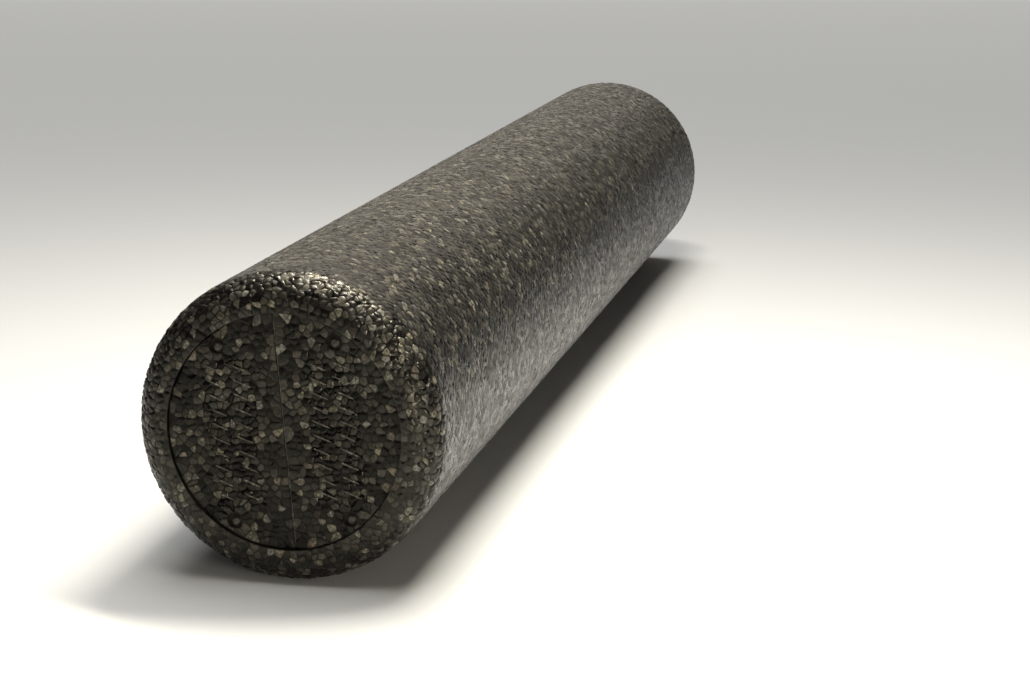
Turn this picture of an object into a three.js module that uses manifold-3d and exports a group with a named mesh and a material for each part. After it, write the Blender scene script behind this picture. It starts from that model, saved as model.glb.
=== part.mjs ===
// Foam roller: a long cylinder of moulded bead foam that lies along X on the plane Z = 0.
// Both ends are flat with a rounded rim. Inside a circular seam each end sinks a little, and
// that sunk disc is in two halves that meet on the plane where the two sides of the mould met.

import * as THREE from 'three';
import { mergeVertices } from 'three/addons/utils/BufferGeometryUtils.js';
import Module from 'manifold-3d';

// Driving dimensions, in millimetres and degrees.
const DIAMETER = 152.4;
const LENGTH = 914.4;
const RIM_ROUNDING = 16;
const SEAM_RADIUS = 58;
const END_SINK = 2;
const DISC_THICKNESS = 10;
const SEAM_GAP = 0.3;
const PARTING_TILT = 4.5;

// Round marks left by the moulding pins, at the corners of a rectangle about the axis.
const MARK_RADIUS = 4;
const MARK_DEPTH = 1.5;
const MARK_OUT = 29;
const MARK_UP = 43;

// Slanted ribs where foam pressed into the mould's steam vents, in two columns on each half disc.
const RIB_COLUMNS = [19, 31.5];
const RIB_ROWS = 10;
const RIB_PITCH = 7;
const RIB_LENGTH = 11;
const RIB_WIDTH = 0.9;
const RIB_RISE = 0.5;
const RIB_SLANT = 25;

// Upright grooves beside the columns of ribs.
const GROOVE_PLACES = [25.3, 37.6];
const GROOVE_LENGTH = 70;
const GROOVE_WIDTH = 0.6;
const GROOVE_DEPTH = 0.6;

// How finely the round shapes are divided.
const SIDES = 72;
const RIM_STEPS = 6;
const MARK_SIDES = 16;

const RADIUS = DIAMETER / 2;
const END_X = LENGTH / 2;
const POCKET_DEPTH = END_SINK + DISC_THICKNESS + SEAM_GAP;
const HALF_SIDE_TURN = Math.PI / SIDES;
const ENDS = { left: -1, right: 1 };
const HALVES = { front: -1, rear: 1 };

const wasm = await Module();
wasm.setup();

// The corner radius of a polygon whose flats touch a circle of the given radius.
function cornerRadius(radius) {
  return radius / Math.cos(HALF_SIDE_TURN);
}

// Turns a shape made about Y so that its Y axis lies along X.
function layAlongX(geometry) {
  return geometry.rotateZ(-Math.PI / 2);
}

// Places a shape in the frame of the parting plane, whose top leans towards +Y.
function leanWithParting(geometry) {
  return geometry.rotateX(-THREE.MathUtils.degToRad(PARTING_TILT));
}

// A closed geometry as a solid that can be cut.
function solidFrom(geometry) {
  const bare = geometry.clone();
  bare.deleteAttribute('normal');
  bare.deleteAttribute('uv');
  const merged = mergeVertices(bare);
  const mesh = new wasm.Mesh({
    numProp: 3,
    vertProperties: merged.attributes.position.array,
    triVerts: new Uint32Array(merged.index.array),
  });
  return new wasm.Manifold(mesh);
}

// A solid as a geometry that can be shown.
function geometryFrom(solid) {
  const mesh = solid.getMesh();
  const geometry = new THREE.BufferGeometry();
  geometry.setAttribute('position', new THREE.BufferAttribute(mesh.vertProperties, 3));
  geometry.setIndex(new THREE.BufferAttribute(mesh.triVerts, 1));
  geometry.computeVertexNormals();
  return geometry;
}

// The quarter-round of one rim, from the flat end to the side of the cylinder.
function rimPoints(endSide) {
  const points = [];
  for (let step = 0; step <= RIM_STEPS; step += 1) {
    const angle = (step / RIM_STEPS) * (Math.PI / 2);
    const radius = RADIUS - RIM_ROUNDING * (1 - Math.sin(angle));
    const height = END_X - RIM_ROUNDING * (1 - Math.cos(angle));
    points.push(new THREE.Vector2(cornerRadius(radius), endSide * height));
  }
  return points;
}

// The roller's body: the full cylinder with rounded rims and a shallow round pocket in each end.
function bodyGeometry() {
  const pocketRadius = cornerRadius(SEAM_RADIUS);
  const floor = END_X - POCKET_DEPTH;
  const profile = [
    new THREE.Vector2(0, -floor),
    new THREE.Vector2(pocketRadius, -floor),
    new THREE.Vector2(pocketRadius, -END_X),
    ...rimPoints(ENDS.left),
    ...rimPoints(ENDS.right).reverse(),
    new THREE.Vector2(pocketRadius, END_X),
    new THREE.Vector2(pocketRadius, floor),
    new THREE.Vector2(0, floor),
  ];
  return layAlongX(new THREE.LatheGeometry(profile, SIDES, HALF_SIDE_TURN));
}

// A cutter for one round mark, reaching its depth below the disc's outer face.
function markCutter(faceX, endSide, out, up) {
  const geometry = new THREE.CylinderGeometry(MARK_RADIUS, MARK_RADIUS, 2 * MARK_DEPTH, MARK_SIDES);
  layAlongX(geometry).translate(endSide * faceX, out, up);
  return solidFrom(leanWithParting(geometry));
}

// One vent rib, half sunk in the face. Seen from outside, the ribs of both ends slope down to the right.
function ventRib(faceX, endSide, out, up) {
  const geometry = new THREE.BoxGeometry(2 * RIB_RISE, RIB_LENGTH, RIB_WIDTH);
  geometry.rotateX(-endSide * THREE.MathUtils.degToRad(RIB_SLANT));
  geometry.translate(endSide * faceX, out, up);
  return solidFrom(leanWithParting(geometry));
}

// A cutter for one upright groove.
function grooveCutter(faceX, endSide, out) {
  const geometry = new THREE.BoxGeometry(2 * GROOVE_DEPTH, GROOVE_WIDTH, GROOVE_LENGTH);
  geometry.translate(endSide * faceX, out, 0);
  return solidFrom(leanWithParting(geometry));
}

// One half of an end disc, with its two round marks, its grooves and its columns of vent ribs.
function halfDiscGeometry(endSide, halfSide) {
  const faceX = END_X - END_SINK;
  const discRadius = cornerRadius(SEAM_RADIUS - SEAM_GAP);
  const discShape = new THREE.CylinderGeometry(
    discRadius, discRadius, DISC_THICKNESS, SIDES, 1, false, HALF_SIDE_TURN,
  );
  layAlongX(discShape).translate(endSide * (faceX - DISC_THICKNESS / 2), 0, 0);

  const keepShape = new THREE.BoxGeometry(LENGTH + DIAMETER, DIAMETER, 2 * DIAMETER);
  keepShape.translate(0, halfSide * (RADIUS + SEAM_GAP / 2), 0);
  let solid = solidFrom(discShape).intersect(solidFrom(leanWithParting(keepShape)));

  for (const up of [-MARK_UP, MARK_UP]) {
    solid = solid.subtract(markCutter(faceX, endSide, halfSide * MARK_OUT, up));
  }
  for (const place of GROOVE_PLACES) {
    solid = solid.subtract(grooveCutter(faceX, endSide, halfSide * place));
  }
  for (const column of RIB_COLUMNS) {
    for (let row = 0; row < RIB_ROWS; row += 1) {
      const up = (row - (RIB_ROWS - 1) / 2) * RIB_PITCH;
      solid = solid.add(ventRib(faceX, endSide, halfSide * column, up));
    }
  }
  return geometryFrom(solid);
}

// A named piece of charcoal bead foam.
function foamPiece(name, geometry, colour) {
  const material = new THREE.MeshStandardMaterial({ color: colour, roughness: 0.6, metalness: 0 });
  const piece = new THREE.Mesh(geometry, material);
  piece.name = name;
  return piece;
}

const roller = new THREE.Group();
roller.position.z = RADIUS;
roller.add(foamPiece('foam_body', bodyGeometry(), '#3f3c35'));

for (const [endName, endSide] of Object.entries(ENDS)) {
  for (const [halfName, halfSide] of Object.entries(HALVES)) {
    const name = `${endName}_end_disc_${halfName}_half`;
    roller.add(foamPiece(name, halfDiscGeometry(endSide, halfSide), '#45423a'));
  }
}

export default roller;
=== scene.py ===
"""Foam roller of moulded expanded polypropylene, built bead by bead.

The foam's skin is a pattern of beads pressed flat against the mould. Each bead is a cell of its own in the
mesh: a sunk outline, a rounded shoulder and a slightly domed top. Lengths are in metres.
"""

import math

import bmesh
import bpy
import numpy as np
from bpy.props import FloatProperty, FloatVectorProperty, IntProperty, PointerProperty
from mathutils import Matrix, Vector
from mathutils.geometry import delaunay_2d_cdt


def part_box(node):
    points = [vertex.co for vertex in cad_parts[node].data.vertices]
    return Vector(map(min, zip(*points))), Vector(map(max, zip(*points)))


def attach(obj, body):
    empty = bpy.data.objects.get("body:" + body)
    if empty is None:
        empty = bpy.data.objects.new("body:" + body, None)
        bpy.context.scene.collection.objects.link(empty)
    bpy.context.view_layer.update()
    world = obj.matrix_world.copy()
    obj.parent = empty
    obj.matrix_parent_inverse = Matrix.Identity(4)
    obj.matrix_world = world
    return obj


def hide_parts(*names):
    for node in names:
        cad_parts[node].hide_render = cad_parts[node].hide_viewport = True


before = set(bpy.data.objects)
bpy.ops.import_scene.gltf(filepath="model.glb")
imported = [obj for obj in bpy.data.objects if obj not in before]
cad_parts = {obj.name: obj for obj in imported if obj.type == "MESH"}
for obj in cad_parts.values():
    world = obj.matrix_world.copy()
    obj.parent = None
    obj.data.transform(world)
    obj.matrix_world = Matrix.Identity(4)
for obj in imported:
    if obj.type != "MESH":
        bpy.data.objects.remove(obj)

bl_info = {
    "name": "Foam Roller",
    "version": (1, 0, 0),
    "blender": (4, 5, 0),
    "location": "View3D > Sidebar > Foam Roller",
    "description": "Builds a bead-foam roller and its studio stage",
    "category": "Add Mesh",
}

MM = 0.001
BODY_LOW, BODY_HIGH = (np.array(corner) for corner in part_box("foam_body"))
AXIS_Z = (BODY_LOW[2] + BODY_HIGH[2]) / 2
RADIUS = (BODY_HIGH[2] - BODY_LOW[2]) / 2
HALF_LENGTH = (BODY_HIGH[0] - BODY_LOW[0]) / 2
ROW_SHARE = math.sqrt(3) / 2
LINE, CIRCLE, MARK_LOW, MARK_HIGH = 1, 2, 4, 8
ENDS = {"left": -1, "right": 1}
HALVES = {"front": -1, "rear": 1}
# Tone and gloss of the plain walls inside the seams, between 0 and 1 as a bead's are.
WALL_TONE = 0.3
WALL_GLOSS = 0.3
# Beside a seam, a crease gets this much painted shade and this share of the usual depth.
BORDER_CREASE_SHADE = 0.75
BORDER_DEPTH = 0.7
# Share of the range of greys that the side's beads use, from the darkest up.
SIDE_TONE = 0.96
# How strongly beads stand out: on the side, added on a flat end ring, and added on a rim's rounding.
SIDE_RELIEF, RING_RELIEF, RIM_RELIEF = 0.65, 0.35, 3.2
# The same on the end discs: in the vent panels, and elsewhere.
VENT_RELIEF, DISC_RELIEF = 2.1, 1.15
# How much wider a bead's shoulder is at a corner of its outline.
CORNER_ROUNDING = 2.2
# Steps in each side of a bead's outline, and the rings between its shoulder and its top.
BODY_STEPS, BODY_RINGS = 2, ()
DISC_STEPS, DISC_RINGS = 3, (0.62,)
# Beads keep this share of their spacing clear of a border.
BORDER_MARGIN = 0.3


def linear(colour):
    """A colour written as sRGB hex, such as "#3c3a33", in linear red, green, blue and alpha."""
    channels = [int(colour[k : k + 2], 16) / 255 for k in (1, 3, 5)]
    return (*(c / 12.92 if c <= 0.04045 else ((c + 0.055) / 1.055) ** 2.4 for c in channels), 1.0)


class RollerFoamSettings(bpy.types.PropertyGroup):
    """Sizes of the foam's beads, seams and mould marks."""

    bead_spacing: FloatProperty(
        name="Bead Spacing", description="Mean distance between neighbouring beads",
        default=3.9 * MM, unit="LENGTH", precision=5)
    bead_scatter: FloatProperty(
        name="Bead Scatter",
        description="How far a bead strays from an even pattern, as a share of the spacing",
        default=0.34, min=0.0, max=0.45)
    crease_depth: FloatProperty(
        name="Crease Depth", description="Depth of the crease between two beads",
        default=0.4 * MM, unit="LENGTH", precision=5)
    pit_depth: FloatProperty(
        name="Pit Depth", description="Extra depth of the deepest pits, where three beads meet",
        default=0.5 * MM, unit="LENGTH", precision=5)
    shoulder: FloatProperty(
        name="Shoulder", description="Width of a bead's rounded shoulder",
        default=0.5 * MM, unit="LENGTH", precision=5)
    bead_dome: FloatProperty(
        name="Bead Dome", description="Height of a bead's middle above its shoulder",
        default=0.18 * MM, unit="LENGTH", precision=5)
    bead_tilt: FloatProperty(
        name="Bead Tilt", description="Largest slope of a bead's top", default=0.12, min=0.0, max=0.3)
    rim_rounding: FloatProperty(
        name="Rim Rounding", description="Radius of the rounded rims",
        default=16 * MM, unit="LENGTH", precision=5)
    seam_radius: FloatProperty(
        name="Seam Radius", description="Radius of the circular seam on each end",
        default=58 * MM, unit="LENGTH", precision=5)
    seam_gap: FloatProperty(
        name="Seam Gap", description="Width of the seams round and across an end disc",
        default=0.3 * MM, unit="LENGTH", precision=5)
    end_sink: FloatProperty(
        name="End Sink", description="How far an end disc lies below the ring round it",
        default=2 * MM, unit="LENGTH", precision=5)
    disc_thickness: FloatProperty(
        name="Disc Thickness", description="Thickness of an end disc",
        default=10 * MM, unit="LENGTH", precision=5)
    parting_lean: FloatProperty(
        name="Parting Lean", description="Lean of the mould's parting plane from upright",
        default=math.radians(4.5), subtype="ANGLE")
    seed: IntProperty(name="Seed", description="Chooses the pattern of beads", default=7)


class RollerMarkSettings(bpy.types.PropertyGroup):
    """Sizes of the marks that the mould leaves on the end discs."""

    mark_radius: FloatProperty(
        name="Mark Radius", description="Radius of a round mark", default=4 * MM, unit="LENGTH", precision=5)
    mark_depth: FloatProperty(
        name="Mark Depth", description="Depth of a round mark", default=1.5 * MM, unit="LENGTH", precision=5)
    mark_out: FloatProperty(
        name="Mark Out", description="Distance of a round mark from the parting plane",
        default=29 * MM, unit="LENGTH", precision=5)
    mark_up: FloatProperty(
        name="Mark Up", description="Distance of a round mark above or below the axis",
        default=43 * MM, unit="LENGTH", precision=5)
    groove_half_width: FloatProperty(
        name="Groove Half Width", description="Half the width of an upright groove",
        default=0.3 * MM, unit="LENGTH", precision=5)
    groove_depth: FloatProperty(
        name="Groove Depth", description="Depth of an upright groove",
        default=0.6 * MM, unit="LENGTH", precision=5)
    groove_length: FloatProperty(
        name="Groove Length", description="Length of an upright groove",
        default=70 * MM, unit="LENGTH", precision=5)
    rib_pitch: FloatProperty(
        name="Rib Pitch", description="Distance from one vent rib to the next",
        default=7 * MM, unit="LENGTH", precision=5)
    rib_length: FloatProperty(
        name="Rib Length", description="Length of a vent rib", default=11 * MM, unit="LENGTH", precision=5)
    rib_width: FloatProperty(
        name="Rib Width", description="Width of a vent rib", default=0.9 * MM, unit="LENGTH", precision=5)
    rib_rise: FloatProperty(
        name="Rib Rise", description="Height of a vent rib above the disc",
        default=0.5 * MM, unit="LENGTH", precision=5)
    rib_slant: FloatProperty(
        name="Rib Slant", description="Slope of a vent rib, down to the right as seen from outside",
        default=math.radians(25), subtype="ANGLE")


def colour_property(name, description, colour):
    """A setting that holds a colour, given as sRGB hex."""
    return FloatVectorProperty(
        name=name, description=description, default=linear(colour), size=4, subtype="COLOR", min=0.0, max=1.0)


class RollerColourSettings(bpy.types.PropertyGroup):
    """Colours of the beads, from the darkest to the palest, and of the painted shade in the creases between
    them.
    """

    darkest_bead: colour_property("Darkest Bead", "Colour of the darkest beads", "#0a0a0a")
    dark_bead: colour_property("Dark Bead", "Colour of a quarter of the beads, or a darker one", "#191817")
    middle_bead: colour_property("Middle Bead", "Colour in the middle of the range", "#262523")
    light_bead: colour_property("Light Bead", "Colour that about a fifth of the beads pass", "#3a3833")
    pale_bead: colour_property("Pale Bead", "Colour that few beads are lighter than", "#524f48")
    palest_bead: colour_property("Palest Bead", "Colour of the palest beads", "#767266")
    # Crease shade: a near-black painted shade laid into the creases, seam walls, mark hollows and groove
    # bottoms.
    crease_shade: colour_property("Crease", "Colour in the creases between beads", "#060605")


class RollerStageSettings(bpy.types.PropertyGroup):
    """The floor, the lights and the camera."""

    floor_size: FloatProperty(
        name="Floor Size", description="Length of the floor's sides", default=60.0, unit="LENGTH")
    floor_colour: colour_property("Floor Colour", "Colour of the floor", "#cbcdcf")
    room_colour: colour_property("Room Colour", "Colour of the dim light from all round", "#f4f0e6")
    room_strength: FloatProperty(
        name="Room Strength", description="Strength of the light from all round", default=0.04)
    overhead_strength: FloatProperty(
        name="Overhead Strength", description="Strength of the light from above, in watts per square metre",
        default=2.1)
    far_strength: FloatProperty(
        name="Far Strength", description="Power of the high softbox beyond the right end, in watts",
        default=36.0)
    low_strength: FloatProperty(
        name="Low Strength", description="Power of the low softbox beyond the right end, in watts",
        default=10.0)
    top_strength: FloatProperty(
        name="Top Strength", description="Power of the softbox above and just beyond the left end, in watts",
        default=1.1)
    rim_strength: FloatProperty(
        name="Rim Strength", description="Power of the softbox above the left rim, in watts", default=13.0)
    end_strength: FloatProperty(
        name="End Strength", description="Power of the softbox beside the left end, in watts", default=2.4)
    camera_azimuth: FloatProperty(
        name="Camera Azimuth",
        description="Direction that the camera stands in, from the front and anticlockwise",
        default=math.radians(282.2), subtype="ANGLE")
    camera_elevation: FloatProperty(
        name="Camera Elevation", description="Slope at which the camera looks down",
        default=math.radians(12.62), subtype="ANGLE")
    camera_distance: FloatProperty(
        name="Camera Distance", description="Distance from the camera to the point that it looks at",
        default=1.1252, unit="LENGTH")
    lens: FloatProperty(name="Lens", description="Focal length in millimetres", default=76.2)


# Distances from the parting plane, and the number of ribs in a column.
GROOVE_PLACES = (25.3 * MM, 37.6 * MM)
RIB_COLUMNS = (19 * MM, 31.5 * MM)
RIB_ROWS = 10
# The vent panels, where the beads are crisp: half their width about the ribs' middle, and half their height.
VENT_HALF_WIDTH = 12.8 * MM
VENT_HALF_HEIGHT = 38 * MM
# Rings of a round mark, from its wall to the bead in it: share of the radius, share of the depth, and
# share of painted crease shade, which darkens the hollow's wall and floor as shade.
MARK_RINGS = (
    (0.98, 0.6, 0.9), (0.94, 1.0, 1.0), (0.55, 1.0, 1.0),
    (0.47, 0.75, 0.5), (0.36, 0.55, 0.0), (0.2, 0.47, 0.0),
)
# The bead in a round mark: depth of its top and drop below the middle, as shares of the mark's, and its tone.
MARK_BEAD_DEPTH, MARK_BEAD_DROP, MARK_BEAD_TONE = 0.45, 0.35, 0.85


# --- Bead pattern ---------------------------------------------------------------------------------


def circle_centres(points, triangles):
    """Centre of the circle through each triangle's corners, where the bisectors of its sides meet."""
    a, b, c = (points[triangles[:, k]] for k in range(3))
    ab, ac = b - a, c - a
    twice_area = 2 * (ab[:, 0] * ac[:, 1] - ab[:, 1] * ac[:, 0])
    ab2, ac2 = (ab**2).sum(1), (ac**2).sum(1)
    across = np.stack([ac[:, 1] * ab2 - ab[:, 1] * ac2, ab[:, 0] * ac2 - ac[:, 0] * ab2], 1)
    return a + across / twice_area[:, None]


def bead_outlines(sites, ghosts, ghost_borders):
    """Outlines of the beads: for each site, all that is nearer to it than to any other site or ghost.

    Ghosts stand outside the pattern and close it. ghost_borders says which border each is mirrored in, as
    bits. Returns for every corner of every outline its bead, its place, the row of the next corner
    anticlockwise and the borders that it lies on.
    """
    points = np.concatenate([sites, ghosts])
    borders = np.concatenate([np.zeros(len(sites), int), ghost_borders])
    scale = np.ptp(points, axis=0).max()
    triangles = np.array(delaunay_2d_cdt((points / scale).tolist(), [], [], 0, 1e-12)[2])
    centres = circle_centres(points, triangles)
    bits = np.bitwise_or.reduce(borders[triangles], axis=1)
    bead = triangles.ravel()
    real = bead < len(sites)
    bead = bead[real]
    corner = np.repeat(centres, 3, axis=0)[real]
    bits = np.repeat(bits, 3)[real]
    way = corner - sites[bead]
    order = np.lexsort((np.arctan2(way[:, 1], way[:, 0]), bead))
    bead, corner, bits = bead[order], corner[order], bits[order]
    rows = np.arange(len(bead))
    first = np.searchsorted(bead, bead, side="left")
    last = np.searchsorted(bead, bead, side="right") - 1
    return bead, corner, np.where(rows == last, first, rows + 1), bits


def finer_outlines(bead, corner, following, bits, steps):
    """The same outlines with each side divided evenly into steps.

    A new point lies on the borders that both ends of its side lie on.
    """
    share = np.arange(steps) / steps
    points = corner[:, None] + (corner[following] - corner)[:, None] * share[None, :, None]
    both = np.repeat((bits & bits[following])[:, None], steps, axis=1)
    both[:, 0] = bits
    step_rows = np.arange(len(bead) * steps).reshape(-1, steps)
    after = step_rows + 1
    after[:, -1] = following * steps
    return np.repeat(bead, steps), points.reshape(-1, 2), after.ravel(), both.ravel()


def scatter_of(points, seed):
    """A number from 0 to 1 for each point that depends only on its place, so beads that share it agree."""
    ground = np.sin(points @ np.array([12.9898, 78.233, 37.719]) * 1000 + seed) * 43758.5453
    return ground - np.floor(ground)


def band(lower, upper, following):
    """Triangles between two rings of points with the same rows."""
    return np.concatenate([
        np.stack([lower, lower[following], upper[following]], 1),
        np.stack([lower, upper[following], upper], 1),
    ])


def bead_skin(outlines, steps, rings, place, relief_at, foam, rng):
    """The foam's skin: for each bead a sunk outline, a shoulder, further rings and a top.

    The outline lies a crease's depth down, with pits at some corners. The shoulder is set in from it by a
    fixed width, and more at corners, which rounds the bead. Each further ring is given as its share of the
    way from the outline to the middle, and the bead rises to its top as a parabola. Its top leans and sinks
    a little by chance. place turns chart points and heights into positions, and relief_at says how strongly
    beads stand out at chart points. Returns vertices, triangles, each triangle's tone and gloss, each
    vertex's share of painted crease shade, and the outline's vertex numbers.
    """
    bead, edge, following, bits = outlines
    count = bead[-1] + 1
    size = np.bincount(bead, minlength=count)
    middle = np.stack([np.bincount(bead, edge[:, k], count) / size for k in range(2)], 1)
    relief = relief_at(middle)
    inward = middle[bead] - edge
    flat_edge = place(edge, np.zeros(len(edge)))
    reach = np.linalg.norm(flat_edge - place(middle, np.zeros(count))[bead], axis=1)
    is_corner = np.arange(len(edge)) % steps == 0
    share = np.clip(foam.shoulder * np.where(is_corner, CORNER_ROUNDING, 1.0) / reach, 0.05, 0.5)

    slope = rng.uniform(-1, 1, (count, 2)) * (foam.bead_tilt * relief)[:, None]
    level = rng.uniform(-1, 0, count) * foam.bead_dome * relief
    away = -inward / np.linalg.norm(inward, axis=1)[:, None] * reach[:, None]
    lean = (slope[bead] * away).sum(1)
    pit = np.clip(scatter_of(flat_edge, foam.seed) * 2.2 - 1.2, 0, 1) * foam.pit_depth
    depth = foam.crease_depth * relief_at(edge) + pit * is_corner
    depth[bits > 0] = BORDER_DEPTH * foam.crease_depth

    outline = place(edge, -depth)
    _, kept, number = np.unique(
        np.round(outline / 1e-7).astype(np.int64), axis=0, return_index=True, return_inverse=True)
    number = number.ravel()
    start, rows = len(kept), np.arange(len(edge))
    vertices, triangles, lower = [outline[kept]], [], number
    for level_number, ring_share in enumerate((share, *rings)):
        ring_share = np.broadcast_to(ring_share, share.shape)
        height = level[bead] + (lean - (foam.bead_dome * relief)[bead] * (1 - ring_share)) * (1 - ring_share)
        vertices.append(place(edge + inward * ring_share[:, None], height))
        upper = start + level_number * len(rows) + rows
        triangles.append(band(lower, upper, following))
        lower = upper
    vertices.append(place(middle, level))
    top = start + (1 + len(rings)) * len(rows) + bead
    triangles.append(np.stack([lower, lower[following], top], 1))
    vertices, triangles = np.concatenate(vertices), np.concatenate(triangles)
    face_bead = np.tile(bead, 3 + 2 * len(rings))
    whole = (triangles[:, 0] != triangles[:, 1]) & (triangles[:, 1] != triangles[:, 2])
    # Painted shade: the outline vertices get the full crease shade, less beside a seam, and the rest get
    # none.
    crease_shade = np.zeros(len(vertices))
    crease_shade[:start] = np.where(bits[kept] > 0, BORDER_CREASE_SHADE, 1)
    look = rng.uniform(0, 1, (count, 2))
    return vertices, triangles[whole], look[face_bead[whole]], crease_shade, number


class MeshParts:
    """Vertices, triangles and their attributes, gathered part by part. A look is a tone and a gloss."""

    def __init__(self, vertices, triangles, look, crease_shade):
        self.vertices, self.triangles, self.look, self.crease_shade = [vertices], [triangles], [look], [crease_shade]
        self.count = len(vertices)

    def add(self, vertices, crease_shade):
        """Adds vertices that share one amount of painted crease shade, and returns their numbers."""
        first = self.count
        self.vertices.append(vertices)
        self.crease_shade.append(np.full(len(vertices), crease_shade))
        self.count += len(vertices)
        return first + np.arange(len(vertices))

    def join(self, triangles, tone):
        """Adds triangles of one tone."""
        self.triangles.append(triangles)
        self.look.append(np.tile([tone, WALL_GLOSS], (len(triangles), 1)))

    def cup(self, loop, rings, centre, tone):
        """Closes a hole whose rim is a loop of vertices, with rings of positions inside it and a centre.

        The loop runs anticlockwise as seen from outside the solid. Each ring comes with its share of painted
        crease shade.
        """
        following = np.roll(np.arange(len(loop)), -1)
        lower = loop
        for ring, crease_shade in rings:
            upper = self.add(ring, crease_shade)
            self.join(band(lower, upper, following), tone)
            lower = upper
        top = np.repeat(self.add(centre[None], rings[-1][1]), len(loop))
        self.join(np.stack([lower, lower[following], top], 1), tone)

    def finish(self, name, material):
        """Makes the object, with the looks as face attributes and the painted crease shade as a point
        attribute.
        """
        mesh = bpy.data.meshes.new(name)
        vertices = np.concatenate(self.vertices)
        triangles = np.concatenate(self.triangles)
        mesh.vertices.add(len(vertices))
        mesh.vertices.foreach_set("co", vertices.astype(np.float32).ravel())
        mesh.loops.add(triangles.size)
        mesh.loops.foreach_set("vertex_index", triangles.astype(np.int32).ravel())
        mesh.polygons.add(len(triangles))
        mesh.polygons.foreach_set("loop_start", np.arange(len(triangles), dtype=np.int32) * 3)
        mesh.update(calc_edges=True)
        look = np.concatenate(self.look)
        for attribute, domain, values in (
            ("bead_tone", "FACE", look[:, 0]), ("bead_gloss", "FACE", look[:, 1]),
            ("crease_shade", "POINT", np.concatenate(self.crease_shade)),
        ):
            data = mesh.attributes.new(attribute, "FLOAT", domain).data
            data.foreach_set("value", values.astype(np.float32))
        mesh.shade_smooth()
        mesh.set_sharp_from_angle(angle=math.radians(60))
        mesh.materials.append(material)
        piece = bpy.data.objects.new(name, mesh)
        bpy.context.scene.collection.objects.link(piece)
        return piece


# --- Body -----------------------------------------------------------------------------------------


def body_profile(foam):
    """The roller's outline from one end's seam to the other's: run, x, radius, normal x and normal radius.

    It goes straight out to the rim, round a quarter circle, along the side, and back in the same way.
    """
    flat = RADIUS - foam.rim_rounding - foam.seam_radius
    quarter = foam.rim_rounding * math.pi / 2
    total = 2 * (flat + quarter + HALF_LENGTH - foam.rim_rounding)
    run = np.linspace(0, total, int(total / (0.1 * MM)))
    back = np.minimum(run, total - run)
    turn = np.clip((back - flat) / foam.rim_rounding, 0, math.pi / 2)
    along = np.clip(back - flat - quarter, 0, None)
    sign = np.where(run < total / 2, -1.0, 1.0)
    x = sign * (HALF_LENGTH - foam.rim_rounding * (1 - np.cos(turn)) - along)
    radius = foam.seam_radius + np.minimum(back, flat) + foam.rim_rounding * np.sin(turn)
    return run, x, radius, sign * np.cos(turn), np.sin(turn)


def even_map(profile):
    """The chart's second axis: the running sum of run over radius, so that a small circle stays a circle."""
    run, _, radius = profile[:3]
    steps = np.diff(run) * 2 / (radius[1:] + radius[:-1])
    return np.concatenate([[0], np.cumsum(steps)])


def body_placer(profile, chart_run):
    """Turns (turn, chart run) and a height into a position on the body of revolution."""
    _, x, radius, normal_x, normal_radius = profile

    def place(points, height):
        turn, at = points[:, 0], points[:, 1]
        far = np.interp(at, chart_run, radius) + np.interp(at, chart_run, normal_radius) * height
        along = np.interp(at, chart_run, x) + np.interp(at, chart_run, normal_x) * height
        return np.stack([along, far * np.cos(turn), AXIS_Z + far * np.sin(turn)], 1)

    return place


def body_sites(foam, profile, chart_run, rng):
    """Bead middles on the body: staggered rows round it, each bead then moved a little by chance."""
    run, _, radius = profile[:3]
    spacing = foam.bead_spacing
    rows = round(run[-1] / (spacing * ROW_SHARE))
    row_run = (np.arange(rows) + 0.5) * run[-1] / rows
    count = np.round(math.tau * np.interp(row_run, run, radius) / spacing).astype(int)
    row = np.repeat(np.arange(rows), count)
    place = np.arange(len(row)) - np.repeat(np.cumsum(count) - count, count)
    stray = rng.uniform(-1, 1, (len(row), 2)) * foam.bead_scatter
    turn = (place + row % 2 / 2 + stray[:, 0]) / count[row] * math.tau % math.tau
    margin = BORDER_MARGIN * spacing
    at = np.clip(row_run[row] + stray[:, 1] * spacing, margin, run[-1] - margin)
    return np.stack([turn, np.interp(at, run, chart_run)], 1)


def body_ghosts(sites, chart_run, reach):
    """Copies of the sites a full turn on at each side, and mirror images beyond the two seams."""
    turn = np.array([math.tau, 0])
    after = sites[sites[:, 0] < reach] + turn
    before = sites[sites[:, 0] > math.tau - reach] - turn
    wrapped = np.concatenate([after, before])
    both = np.concatenate([sites, wrapped])
    flip = np.array([1, -1])
    low = both[both[:, 1] < reach] * flip
    high = both[both[:, 1] > chart_run[-1] - reach] * flip + np.array([0, 2 * chart_run[-1]])
    borders = np.repeat([0, LINE, CIRCLE], [len(wrapped), len(low), len(high)])
    return np.concatenate([wrapped, low, high]), borders


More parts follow.
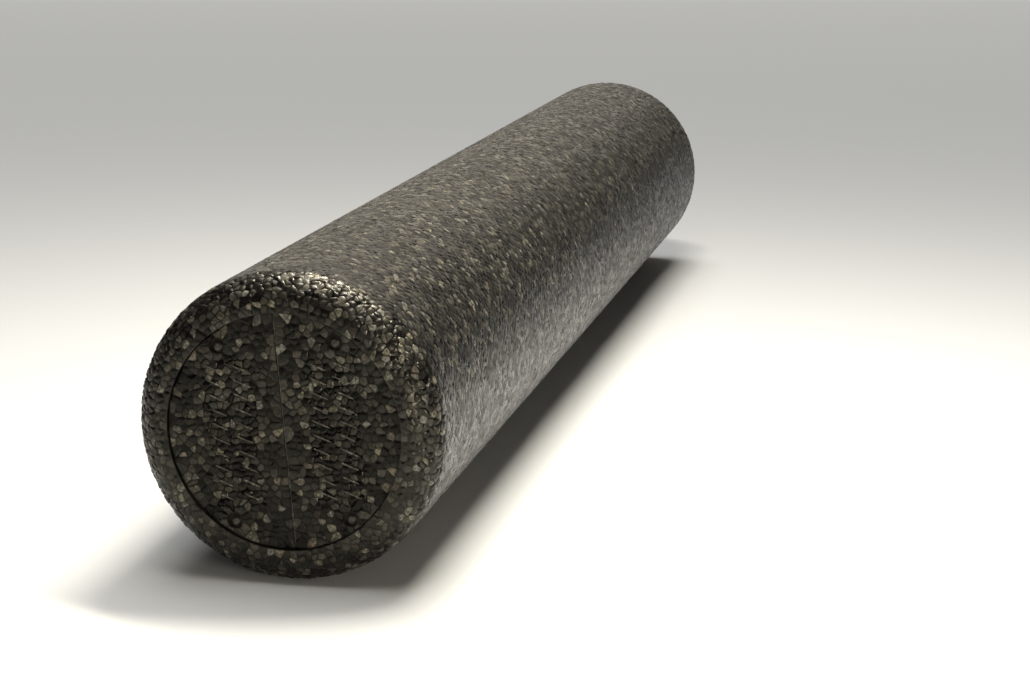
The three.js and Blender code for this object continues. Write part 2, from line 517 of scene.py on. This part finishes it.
def build_body(foam, material):
    """The body of revolution covered in beads, closed by a flat-bottomed pocket at each end."""
    rng = np.random.default_rng(foam.seed)
    profile = body_profile(foam)
    chart_run = even_map(profile)
    place = body_placer(profile, chart_run)
    sites = body_sites(foam, profile, chart_run, rng)
    reach = 4 * foam.bead_spacing / foam.seam_radius
    outlines = finer_outlines(*bead_outlines(sites, *body_ghosts(sites, chart_run, reach)), BODY_STEPS)
    _, corner, _, bits = outlines
    corner[bits == LINE, 1] = 0
    corner[bits == CIRCLE, 1] = chart_run[-1]

    def relief_at(points):
        """Weak on the side, stronger on the end rings and strongest on a rim's rounding."""
        normal_x = np.abs(np.interp(points[:, 1], chart_run, profile[3]))
        return SIDE_RELIEF + RING_RELIEF * normal_x + RIM_RELIEF * normal_x * (1 - normal_x)

    vertices, triangles, look, crease_shade, number = bead_skin(
        outlines, BODY_STEPS, BODY_RINGS, place, relief_at, foam, rng)
    along = np.abs(vertices[triangles, 0].mean(axis=1))
    look[along < HALF_LENGTH - foam.rim_rounding, 0] *= SIDE_TONE
    parts = MeshParts(vertices, triangles, look, crease_shade)
    pocket = HALF_LENGTH - foam.end_sink - foam.disc_thickness - foam.seam_gap
    for end, bit in ((ENDS["left"], LINE), (ENDS["right"], CIRCLE)):
        loop, first = np.unique(number[bits == bit], return_index=True)
        loop = loop[np.argsort(corner[bits == bit][first, 0] % math.tau)][::end]
        floor = vertices[loop].copy()
        floor[:, 0] = end * pocket
        # The pocket's floor gets painted crease shade, which darkens the seam's wall as shade.
        parts.cup(loop, [(floor, BORDER_CREASE_SHADE)], np.array([end * pocket, 0, AXIS_Z]), WALL_TONE)
    return parts.finish("foam_body_skin", material)


# --- End discs ------------------------------------------------------------------------------------


def disc_placer(foam, end):
    """Turns (right, up) as seen from outside an end, and a height out of its disc, into a position."""
    cos, sin = math.cos(foam.parting_lean), math.sin(foam.parting_lean)

    def place(points, height):
        out, up = end * points[:, 0], points[:, 1]
        x = end * (HALF_LENGTH - foam.end_sink + height)
        return np.stack([x, out * cos + up * sin, AXIS_Z + up * cos - out * sin], 1)

    return place


def disc_reader(foam, end):
    """The reverse of disc_placer: turns positions into right, up and height."""
    cos, sin = math.cos(foam.parting_lean), math.sin(foam.parting_lean)

    def read(vertices):
        x, y, z = vertices[:, 0], vertices[:, 1], vertices[:, 2] - AXIS_Z
        return end * (y * cos - z * sin), y * sin + z * cos, end * x - (HALF_LENGTH - foam.end_sink)

    return read


def disc_circles(foam, marks, side):
    """The round borders of a half disc: its own edge and its two round marks, as bit, centre and radius."""
    out = side * marks.mark_out
    return (
        (CIRCLE, np.zeros(2), foam.seam_radius - foam.seam_gap),
        (MARK_LOW, np.array([out, -marks.mark_up]), marks.mark_radius),
        (MARK_HIGH, np.array([out, marks.mark_up]), marks.mark_radius),
    )


def disc_sites(foam, circles, side, rng):
    """Bead middles on a half disc: a staggered grid moved a little by chance, kept clear of the borders."""
    spacing, margin = foam.bead_spacing, BORDER_MARGIN * foam.bead_spacing
    across = np.arange(-20, 21)
    right, up = (grid.ravel().astype(float) for grid in np.meshgrid(across, across))
    stray = rng.uniform(-1, 1, (2, len(right))) * foam.bead_scatter
    sites = np.stack([right + up % 2 / 2 + stray[0], up * ROW_SHARE + stray[1]], 1) * spacing
    edge_radius = circles[0][2]
    narrow = np.concatenate([narrow_sites(edge_radius, centre, radius) for _, centre, radius in circles[1:]])
    keep = side * sites[:, 0] > foam.seam_gap / 2 + margin
    keep &= np.linalg.norm(sites[:, None] - narrow, axis=2).min(1) > 0.6 * spacing
    for bit, centre, radius in circles:
        clear = np.linalg.norm(sites - centre, axis=1) - radius
        keep &= (clear < -margin) if bit == CIRCLE else (clear > margin)
    return np.concatenate([sites[keep], narrow])


def narrow_sites(edge_radius, centre, radius):
    """Bead middles in the strip between a round mark and the disc's edge, half-way across it."""
    out = math.hypot(*centre)
    turn = np.radians([-40, 0, 40])
    to_edge = np.sqrt(edge_radius**2 - (out * np.sin(turn)) ** 2) - out * np.cos(turn)
    turn = turn + math.atan2(centre[1], centre[0])
    return centre + ((radius + to_edge) / 2)[:, None] * np.stack([np.cos(turn), np.sin(turn)], 1)


def disc_ghosts(foam, sites, circles, side):
    """Mirror images of the sites: in each circle, as far from it by ratio, and in the parting line."""
    reach = 4 * foam.bead_spacing
    ghosts, bits = [], []
    for bit, centre, radius in circles:
        way = sites - centre
        far = np.linalg.norm(way, axis=1)
        near = np.abs(far - radius) < reach
        ghosts.append(centre + way[near] * (radius / far[near])[:, None] ** 2)
        bits.append(np.full(near.sum(), bit))
    ghosts, bits = np.concatenate(ghosts), np.concatenate(bits)
    both = np.concatenate([sites, ghosts])
    both_bits = np.concatenate([np.zeros(len(sites), int), bits])
    near = side * both[:, 0] < reach
    flipped = both[near] * np.array([-1, 1]) + np.array([side * foam.seam_gap, 0])
    return np.concatenate([ghosts, flipped]), np.concatenate([bits, both_bits[near] | LINE])


def put_on_borders(foam, corner, bits, circles, side):
    """Moves the outlines' border points onto the circles and the parting line, or both where they meet."""
    for bit, centre, radius in circles:
        on = (bits & bit) > 0
        way = corner[on] - centre
        corner[on] = centre + way * (radius / np.linalg.norm(way, axis=1))[:, None]
    gap = foam.seam_gap / 2
    on = (bits & LINE) > 0
    corner[on, 0] = side * gap
    ends = (bits & (LINE | CIRCLE)) == (LINE | CIRCLE)
    corner[ends, 1] = np.sign(corner[ends, 1]) * math.sqrt(circles[0][2] ** 2 - gap**2)


def border_loop(number, corner, on, centre):
    """The border's vertices and chart places in turn anticlockwise round a centre."""
    loop, first = np.unique(number[on], return_index=True)
    places = corner[on][first]
    order = np.argsort(np.arctan2(places[:, 1] - centre[1], places[:, 0] - centre[0]))
    return loop[order], places[order]


def cut_grooves(piece, foam, marks, end, side):
    """Cuts upright V grooves: three straight cuts for each, and the middle one is pressed in and given full
    painted crease shade.
    """
    place, read = disc_placer(foam, end), disc_reader(foam, end)
    middle_and_right = place(np.array([[0.0, 0.0], [1.0, 0.0]]), np.zeros(2))
    square_on = Vector(middle_and_right[1] - middle_and_right[0])
    mesh = bmesh.new()
    mesh.from_mesh(piece.data)
    for groove in GROOVE_PLACES:
        for shift in (-marks.groove_half_width, 0, marks.groove_half_width):
            point = Vector(place(np.array([[side * groove + shift, 0.0]]), np.zeros(1))[0])
            everything = mesh.verts[:] + mesh.edges[:] + mesh.faces[:]
            bmesh.ops.bisect_plane(mesh, geom=everything, dist=1e-8, plane_co=point, plane_no=square_on)
    bmesh.ops.triangulate(mesh, faces=mesh.faces[:])
    mesh.to_mesh(piece.data)
    mesh.free()
    vertices = np.empty(len(piece.data.vertices) * 3, np.float32)
    piece.data.vertices.foreach_get("co", vertices)
    vertices = vertices.reshape(-1, 3)
    right, up, height = read(vertices)
    crease_shade = np.empty(len(vertices), np.float32)
    piece.data.attributes["crease_shade"].data.foreach_get("value", crease_shade)
    for groove in GROOVE_PLACES:
        middle = np.abs(right - side * groove) < 0.02 * MM
        middle &= (np.abs(up) < marks.groove_length / 2) & (height > -2 * marks.groove_depth)
        vertices[middle, 0] = end * (HALF_LENGTH - foam.end_sink - marks.groove_depth)
        # Painted shade: the groove's bottom is darkened fully.
        crease_shade[middle] = 1.0
    piece.data.vertices.foreach_set("co", vertices.ravel())
    piece.data.attributes["crease_shade"].data.foreach_set("value", crease_shade)
    piece.data.update()


def in_vent_panel(right, up):
    """Whether places on an end disc lie in one of its two upright panels of crisper beads."""
    aside = np.abs(np.abs(right) - np.mean(RIB_COLUMNS))
    return (aside < VENT_HALF_WIDTH) & (np.abs(up) < VENT_HALF_HEIGHT)


def build_half_disc(foam, marks, end_name, half_name, material):
    """Half of an end disc: bead skin, round marks with a bead in each, grooves, a wall and a flat back."""
    end = ENDS[end_name]
    side = end * HALVES[half_name]
    rng = np.random.default_rng([foam.seed, end + 1, side + 1])
    place = disc_placer(foam, end)
    circles = disc_circles(foam, marks, side)
    sites = disc_sites(foam, circles, side, rng)
    outlines = bead_outlines(sites, *disc_ghosts(foam, sites, circles, side))
    outlines = finer_outlines(*outlines, DISC_STEPS)
    _, corner, _, bits = outlines
    put_on_borders(foam, corner, bits, circles, side)

    def relief_at(points):
        """Stronger in the vent panels."""
        return np.where(in_vent_panel(*points.T), VENT_RELIEF, DISC_RELIEF)

    vertices, triangles, look, crease_shade, number = bead_skin(
        outlines, DISC_STEPS, DISC_RINGS, place, relief_at, foam, rng)
    right, up, _ = disc_reader(foam, end)(vertices[triangles].mean(axis=1))
    look[in_vent_panel(right, up), 1] = 1.0
    parts = MeshParts(vertices, triangles, look, crease_shade)

    inner = np.array([side * foam.seam_radius / 2, 0])
    loop, places = border_loop(number, corner, (bits & (LINE | CIRCLE)) > 0, inner)
    back = place(places, np.full(len(places), -foam.disc_thickness))
    back_middle = place(inner[None], np.full(1, -foam.disc_thickness))[0]
    # The disc's back and wall get painted crease shade, which darkens the seam as shade.
    parts.cup(loop[::-1], [(back[::-1], BORDER_CREASE_SHADE)], back_middle, WALL_TONE)
    for bit, centre, _ in circles[1:]:
        loop, places = border_loop(number, corner, (bits & bit) > 0, centre)
        drop = np.array([0, -MARK_BEAD_DROP * marks.mark_radius])
        rings = []
        # Painted shade: each ring's crease share darkens the mark's wall and floor, and leaves its bead bare.
        for share, depth, ring_shade in MARK_RINGS:
            ring = centre + (places - centre) * share + drop * (1 - share)
            rings.append((place(ring, np.full(len(places), -depth * marks.mark_depth)), ring_shade))
        bead_top = place((centre + drop)[None], np.full(1, -MARK_BEAD_DEPTH * marks.mark_depth))[0]
        parts.cup(loop, rings, bead_top, MARK_BEAD_TONE)
    piece = parts.finish(f"{end_name}_end_skin_{half_name}", material)
    cut_grooves(piece, foam, marks, end, side)
    return piece


# --- Thin raised lines ----------------------------------------------------------------------------


def bars(path, out, half_width, half_rise):
    """Closed bars along paths: an ellipse carried along each path, drawn in to a point at both ends.

    path and out are (bars, stations, 3), and half_width and half_rise are (bars, stations). out is the
    direction of the rise. Returns vertices and triangles.
    """
    along = np.gradient(path, axis=1)
    aside = np.cross(out, along)
    aside /= np.linalg.norm(aside, axis=2)[:, :, None]
    turn = np.arange(8) / 8 * math.tau
    ring = (
        path[:, :, None]
        + aside[:, :, None] * (half_width[:, :, None] * np.cos(turn))[..., None]
        + out[:, :, None] * (half_rise[:, :, None] * np.sin(turn))[..., None]
    )
    ring = ring[:, 1:-1]
    count, stations, around = ring.shape[:3]
    number = np.arange(ring[..., 0].size).reshape(count, stations, around)
    following = np.roll(number, -1, axis=2)
    low, low_next, high, high_next = number[:, :-1], following[:, :-1], number[:, 1:], following[:, 1:]
    first = np.broadcast_to((number.size + np.arange(count))[:, None], (count, around))
    last = first + count
    triangles = [
        (low, low_next, high_next), (low, high_next, high),
        (first, following[:, 0], number[:, 0]), (last, number[:, -1], following[:, -1]),
    ]
    triangles = np.concatenate([np.stack(corners, -1).reshape(-1, 3) for corners in triangles])
    return np.concatenate([ring.reshape(-1, 3), path[:, 0], path[:, -1]]), triangles


def make_bars(name, shape, tone, material):
    """One piece from the bars, all of one tone, as glossy as the glossiest bead and without painted crease
    shade.
    """
    vertices, triangles = shape
    look = np.tile([tone, 1.0], (len(triangles), 1))
    parts = MeshParts(vertices, triangles, look, np.zeros(len(vertices)))
    return parts.finish(name, material)


def build_vent_ribs(foam, marks, end_name, half_name, material):
    """The slanted ribs of a half disc, each half sunk in the skin and uneven along its length."""
    end = ENDS[end_name]
    side = end * HALVES[half_name]
    rng = np.random.default_rng([foam.seed, end + 1, side + 1, 1])
    place = disc_placer(foam, end)
    rows = np.arange(RIB_ROWS) - (RIB_ROWS - 1) / 2
    column, row = (grid.ravel() for grid in np.meshgrid(RIB_COLUMNS, rows))
    middle = np.stack([side * column, row * marks.rib_pitch], 1)
    heading = np.array([math.cos(marks.rib_slant), -math.sin(marks.rib_slant)])
    at = np.linspace(-1, 1, 25)
    length = marks.rib_length * rng.uniform(0.75, 1, len(middle))
    shift = (marks.rib_length - length) / 2 * rng.uniform(-1, 1, len(middle))
    distance = shift[:, None] + at * length[:, None] / 2
    chart = middle[:, None] + distance[..., None] * heading
    taper = np.sqrt(1 - at**4)
    uneven = rng.uniform(0.55, 1, (len(middle), len(at)))
    sunk = 0.15 * MM
    path = place(chart.reshape(-1, 2), np.full(chart[..., 0].size, -sunk)).reshape(*chart.shape[:2], 3)
    out = np.broadcast_to(np.array([end, 0.0, 0.0]), path.shape)
    rise = (marks.rib_rise * rng.uniform(0.4, 1, len(middle))[:, None] + sunk) * taper * uneven
    shape = bars(path, out, marks.rib_width / 2 * taper * (0.7 + 0.3 * uneven), rise)
    # The ribs' pale tone is a painted highlight, so that they read as bright glinting lines.
    return make_bars(f"{end_name}_vent_ribs_{half_name}", shape, 0.92, material)


def build_parting_flash(foam, material):
    """The thin line of foam that squeezed between the mould's halves, along the top and the bottom."""
    rng = np.random.default_rng([foam.seed, 5])
    profile = body_profile(foam)
    run, _, _, normal_x, normal_radius = profile
    chart_run = even_map(profile)
    place = body_placer(profile, chart_run)
    at = np.linspace(0.4 * MM, run[-1] - 0.4 * MM, 900)
    turns = np.array([math.pi / 2, 3 * math.pi / 2]) - foam.parting_lean
    chart = np.stack(np.broadcast_arrays(turns[:, None], np.interp(at, run, chart_run)), -1)
    sunk = 0.2 * MM
    path = place(chart.reshape(-1, 2), np.full(chart[..., 0].size, -sunk)).reshape(*chart.shape[:2], 3)
    out_x = np.broadcast_to(np.interp(at, run, normal_x), chart.shape[:2])
    out_radius = np.interp(at, run, normal_radius)
    out = np.stack([out_x, out_radius * np.cos(turns)[:, None], out_radius * np.sin(turns)[:, None]], -1)
    rise = sunk + rng.uniform(-0.08, 0.08, chart.shape[:2]) * MM
    return make_bars("parting_flash", bars(path, out, np.full(rise.shape, 0.17 * MM), rise), 0.7, material)


def build_end_flash(foam, end_name, material):
    """A thin uneven raised line on one side of the split across an end disc."""
    end = ENDS[end_name]
    rng = np.random.default_rng([foam.seed, end + 1, 6])
    place = disc_placer(foam, end)
    reach = foam.seam_radius - 1.5 * MM
    up = np.linspace(reach, -reach, 160)
    right = np.full(len(up), foam.seam_gap / 2 + 0.2 * MM)
    sunk = 0.25 * MM
    path = place(np.stack([right, up], 1), np.full(len(up), -sunk))[None]
    out = np.broadcast_to(np.array([end, 0.0, 0.0]), path.shape)
    rise = sunk + rng.uniform(-0.15, 0.18, path.shape[:2]) * MM
    shape = bars(path, out, np.full(rise.shape, 0.18 * MM), rise)
    return make_bars(f"{end_name}_end_flash", shape, 0.9, material)


# --- Materials ------------------------------------------------------------------------------------


def add_node(tree, kind, inputs=None, stops=(), **settings):
    """Adds a node. An input is a value, or the output that feeds it, and stops are a colour ramp's places."""
    node = tree.nodes.new(kind)
    for setting, value in settings.items():
        setattr(node, setting, value)
    for socket, value in (inputs or {}).items():
        if isinstance(value, bpy.types.NodeSocket):
            tree.links.new(value, node.inputs[socket])
        else:
            node.inputs[socket].default_value = value
    for number, (position, colour) in enumerate(stops):
        elements = node.color_ramp.elements
        element = elements[number] if number < len(elements) else elements.new(position)
        element.position = position
        element.color = colour
    return node


def moulded_foam(name, colours, roughness, grain_strength, specular_level):
    """Expanded polypropylene beads fused in a steam mould.

    Polypropylene's skin is waxy and half glossy. Each bead keeps its own grey, the creases between beads are
    given painted shade, and the skin of tiny cells makes fine grain that breaks up every highlight.
    """
    material = bpy.data.materials.new(name)
    material.use_nodes = True
    tree = material.node_tree
    tree.nodes.clear()
    place = add_node(tree, "ShaderNodeTexCoord").outputs["Object"]
    tone = add_node(tree, "ShaderNodeAttribute", attribute_name="bead_tone").outputs["Fac"]
    gloss = add_node(tree, "ShaderNodeAttribute", attribute_name="bead_gloss").outputs["Fac"]
    crease_shade = add_node(tree, "ShaderNodeAttribute", attribute_name="crease_shade").outputs["Fac"]
    chance = add_node(tree, "ShaderNodeTexWhiteNoise", {"W": tone}, noise_dimensions="1D")
    mottle = add_node(tree, "ShaderNodeTexNoise", {"Vector": place, "Scale": 1 / (1.5 * MM), "Detail": 3.0})
    grain = add_node(tree, "ShaderNodeTexNoise", {"Vector": place, "Scale": 1 / (0.45 * MM), "Detail": 2.0})

    shade = add_node(tree, "ShaderNodeMapRange", {
        "Value": mottle.outputs["Fac"], "From Min": 0.3, "From Max": 0.7, "To Min": -0.12, "To Max": 0.12})
    mixed_tone = add_node(tree, "ShaderNodeMath", {0: tone, 1: shade.outputs["Result"]}, operation="ADD")
    bead_colour = add_node(tree, "ShaderNodeValToRGB", {"Fac": mixed_tone.outputs["Value"]}, stops=(
        (0.0, colours.darkest_bead), (0.25, colours.dark_bead), (0.5, colours.middle_bead),
        (0.78, colours.light_bead), (0.95, colours.pale_bead), (1.0, colours.palest_bead)))
    speckle = add_node(tree, "ShaderNodeMapRange", {
        "Value": grain.outputs["Fac"], "From Min": 0.3, "From Max": 0.7, "To Min": 0.72, "To Max": 1.28})
    speckled = add_node(tree, "ShaderNodeVectorMath", {
        0: bead_colour.outputs["Color"], "Scale": speckle.outputs["Result"]}, operation="SCALE")
    hue = add_node(tree, "ShaderNodeMapRange", {
        "Value": chance.outputs["Value"], "To Min": 0.492, "To Max": 0.53})
    strength = add_node(tree, "ShaderNodeMapRange", {
        "Value": chance.outputs["Value"], "To Min": 1.5, "To Max": 0.65})
    varied = add_node(tree, "ShaderNodeHueSaturation", {
        "Hue": hue.outputs["Result"], "Saturation": strength.outputs["Result"],
        "Color": speckled.outputs["Vector"]})
    # Painted shade: the crease share darkens the bead colour towards the near-black crease colour.
    depth = add_node(tree, "ShaderNodeMapRange", {
        "Value": crease_shade, "From Min": 0.1, "From Max": 0.85, "To Min": 0.0, "To Max": 0.9})
    colour = add_node(tree, "ShaderNodeMix", {
        0: depth.outputs["Result"], 6: varied.outputs["Color"], 7: colours.crease_shade}, data_type="RGBA")

    bead_rough = add_node(tree, "ShaderNodeMapRange", {
        "Value": gloss, "To Min": roughness + 0.1, "To Max": roughness - 0.18})
    unevenness = add_node(tree, "ShaderNodeMapRange", {
        "Value": mottle.outputs["Fac"], "From Min": 0.25, "From Max": 0.75, "To Min": -0.06, "To Max": 0.06})
    rough = add_node(tree, "ShaderNodeMath", {
        0: bead_rough.outputs["Result"], 1: unevenness.outputs["Result"]}, operation="ADD")
    bump = add_node(tree, "ShaderNodeBump", {
        "Height": grain.outputs["Fac"], "Strength": grain_strength, "Distance": 0.06 * MM})
    surface = add_node(tree, "ShaderNodeBsdfPrincipled", {
        "Base Color": colour.outputs[2], "Roughness": rough.outputs["Value"], "IOR": 1.49,
        "Specular IOR Level": specular_level, "Specular Tint": linear("#fff8e4"),
        "Normal": bump.outputs["Normal"]})
    add_node(tree, "ShaderNodeOutputMaterial", {"Surface": surface.outputs["BSDF"]})
    return material


def studio_paper(colour):
    """Matt seamless backdrop paper, pressed from white pulp: even and pale, with faint fibre mottling."""
    material = bpy.data.materials.new("seamless_studio_paper")
    material.use_nodes = True
    tree = material.node_tree
    tree.nodes.clear()
    place = add_node(tree, "ShaderNodeTexCoord").outputs["Object"]
    fibre = add_node(tree, "ShaderNodeTexNoise", {"Vector": place, "Scale": 1 / (4 * MM), "Detail": 2.0})
    rough = add_node(tree, "ShaderNodeMapRange", {
        "Value": fibre.outputs["Fac"], "From Min": 0.3, "From Max": 0.7, "To Min": 0.86, "To Max": 0.94})
    surface = add_node(tree, "ShaderNodeBsdfPrincipled", {
        "Base Color": colour, "Roughness": rough.outputs["Result"], "IOR": 1.45, "Specular IOR Level": 0.2})
    add_node(tree, "ShaderNodeOutputMaterial", {"Surface": surface.outputs["BSDF"]})
    return material


# --- Stage ----------------------------------------------------------------------------------------

# The camera looks at a point near the left end, given from the middle of the roller.
LOOK_AT = Vector((-0.3353, -0.0862, 0.0216))
OVERHEAD_COLOUR = linear("#fffdf8")[:3]
SOFTBOX_COLOUR = linear("#fff6e6")[:3]


def build_stage(stage):
    """A wide pale floor, light from above, softboxes at both ends, dim light all round, and the camera."""
    half = stage.floor_size / 2
    mesh = bpy.data.meshes.new("studio_floor")
    corners = [(-half, -half, 0), (half, -half, 0), (half, half, 0), (-half, half, 0)]
    mesh.from_pydata(corners, [], [(0, 1, 2, 3)])
    mesh.materials.append(studio_paper(stage.floor_colour))
    floor = bpy.data.objects.new("studio_floor", mesh)
    bpy.context.scene.collection.objects.link(floor)

    world = bpy.data.worlds.new("studio_room")
    world.use_nodes = True
    background = world.node_tree.nodes["Background"]
    background.inputs["Color"].default_value = stage.room_colour
    background.inputs["Strength"].default_value = stage.room_strength
    scene = bpy.context.scene
    scene.world = world
    scene.view_settings.view_transform = "Standard"

    left_end = Vector((-HALF_LENGTH, 0, AXIS_Z))
    middle = Vector((0, 0, AXIS_Z))
    wide = math.radians(40)
    add_light("overhead_light", "SUN", (0.35, 0.1, 2.0), middle, stage.overhead_strength, angle=wide)
    for name, place, target, strength, size, size_y in (
        ("far_softbox", (6.5, 1.8, 2.6), middle, stage.far_strength, 6.0, 3.0),
        ("low_softbox", (6.5, 1.0, 1.0), middle, stage.low_strength, 6.0, 1.2),
        ("top_softbox", (-0.62, -0.1, 0.75), left_end, stage.top_strength, 0.3, 0.12),
        ("rim_softbox", (-0.12, -0.15, 0.87), left_end, stage.rim_strength, 0.4, 0.07),
        ("end_softbox", (-1.0, -0.55, 0.2), left_end, stage.end_strength, 0.2, 0.2),
    ):
        add_light(name, "AREA", place, target, strength, size=size, size_y=size_y)

    look_at = Vector((0, 0, AXIS_Z)) + LOOK_AT
    flat = math.cos(stage.camera_elevation)
    way = Vector((
        math.sin(stage.camera_azimuth) * flat, -math.cos(stage.camera_azimuth) * flat,
        math.sin(stage.camera_elevation)))
    lens = bpy.data.cameras.new("studio_camera")
    lens.lens = stage.lens
    lens.clip_end = 2 * stage.floor_size
    camera = bpy.data.objects.new("studio_camera", lens)
    camera.location = look_at + way * stage.camera_distance
    camera.rotation_euler = (-way).to_track_quat("-Z", "Y").to_euler()
    scene.collection.objects.link(camera)
    scene.camera = camera


def add_light(name, kind, place, target, energy, **settings):
    """Adds a light that shines from its place towards a target."""
    light = bpy.data.lights.new(name, kind)
    light.energy = energy
    light.color = OVERHEAD_COLOUR
    if kind == "AREA":
        light.shape = "RECTANGLE"
        light.color = SOFTBOX_COLOUR
    for setting, value in settings.items():
        setattr(light, setting, value)
    lamp = bpy.data.objects.new(name, light)
    lamp.location = place
    lamp.rotation_euler = (target - lamp.location).to_track_quat("-Z", "Y").to_euler()
    bpy.context.scene.collection.objects.link(lamp)


# --- Operators ------------------------------------------------------------------------------------


def foam_material(name):
    """The foam of the body or of the end discs, made once and shared by their pieces."""
    if name not in bpy.data.materials:
        moulded_foam(name, bpy.context.scene.roller_colours, *FOAM_FINISH[name])
    return bpy.data.materials[name]


# Roughness, strength of the fine grain and specular level. The discs are smoother and grainier than the body,
# and reflect less.
FOAM_FINISH = {
    "steam_moulded_polypropylene_foam": (0.34, 0.4, 0.32),
    "crisp_moulded_polypropylene_foam": (0.3, 0.5, 0.17),
}
BODY_FOAM, END_FOAM = FOAM_FINISH


def settle(piece, slot, *nodes):
    """Lets a piece ride with the roller and stand for CAD nodes. The slot is not used."""
    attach(piece, "root")
    if nodes:
        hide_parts(*nodes)


class ROLLER_OT_body(bpy.types.Operator):
    """Builds the bead-foam body"""

    bl_idname = "roller.body"
    bl_label = "Foam Body"

    def execute(self, context):
        piece = build_body(context.scene.roller_foam, foam_material(BODY_FOAM))
        settle(piece, "body_foam", "foam_body")
        return {"FINISHED"}


class ROLLER_OT_end_discs(bpy.types.Operator):
    """Builds both halves of the sunk disc in each end"""

    bl_idname = "roller.end_discs"
    bl_label = "End Discs"

    def execute(self, context):
        scene = context.scene
        for end in ENDS:
            for half in HALVES:
                piece = build_half_disc(
                    scene.roller_foam, scene.roller_marks, end, half, foam_material(END_FOAM))
                settle(piece, "end_foam", f"{end}_end_disc_{half}_half")
        return {"FINISHED"}


class ROLLER_OT_vent_ribs(bpy.types.Operator):
    """Builds the slanted ribs that the mould's vents leave on the end discs"""

    bl_idname = "roller.vent_ribs"
    bl_label = "Vent Ribs"

    def execute(self, context):
        scene = context.scene
        for end in ENDS:
            for half in HALVES:
                piece = build_vent_ribs(
                    scene.roller_foam, scene.roller_marks, end, half, foam_material(END_FOAM))
                settle(piece, "end_foam")
        return {"FINISHED"}


class ROLLER_OT_parting_flash(bpy.types.Operator):
    """Builds the thin lines that the mould's parting leaves along the body and across the ends"""

    bl_idname = "roller.parting_flash"
    bl_label = "Parting Flash"

    def execute(self, context):
        foam = context.scene.roller_foam
        settle(build_parting_flash(foam, foam_material(BODY_FOAM)), "body_foam")
        for end in ENDS:
            settle(build_end_flash(foam, end, foam_material(END_FOAM)), "end_foam")
        return {"FINISHED"}


class ROLLER_OT_stage(bpy.types.Operator):
    """Builds the floor, the lights and the camera"""

    bl_idname = "roller.stage"
    bl_label = "Studio Stage"

    def execute(self, context):
        build_stage(context.scene.roller_stage)
        return {"FINISHED"}


OPERATORS = (
    ROLLER_OT_body, ROLLER_OT_end_discs, ROLLER_OT_vent_ribs, ROLLER_OT_parting_flash, ROLLER_OT_stage,
)
SETTINGS = {
    "roller_foam": RollerFoamSettings,
    "roller_marks": RollerMarkSettings,
    "roller_colours": RollerColourSettings,
    "roller_stage": RollerStageSettings,
}


class ROLLER_PT_panel(bpy.types.Panel):
    """Lists the roller's pieces and settings"""

    bl_idname = "ROLLER_PT_panel"
    bl_label = "Foam Roller"
    bl_space_type = "VIEW_3D"
    bl_region_type = "UI"
    bl_category = "Foam Roller"

    def draw(self, context):
        for operator in OPERATORS:
            self.layout.operator(operator.bl_idname)
        for name, settings in SETTINGS.items():
            box = self.layout.box()
            for setting in settings.__annotations__:
                box.prop(getattr(context.scene, name), setting)


def register():
    for each in (*SETTINGS.values(), *OPERATORS, ROLLER_PT_panel):
        bpy.utils.register_class(each)
    for name, settings in SETTINGS.items():
        setattr(bpy.types.Scene, name, PointerProperty(type=settings))


def unregister():
    for name in SETTINGS:
        delattr(bpy.types.Scene, name)
    for each in reversed((*SETTINGS.values(), *OPERATORS, ROLLER_PT_panel)):
        bpy.utils.unregister_class(each)


def main():
    """Builds every piece in order."""
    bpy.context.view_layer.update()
    register()
    bpy.ops.roller.stage()
    bpy.ops.roller.body()
    bpy.ops.roller.end_discs()
    bpy.ops.roller.vent_ribs()
    bpy.ops.roller.parting_flash()


if __name__ == "__main__":
    main()
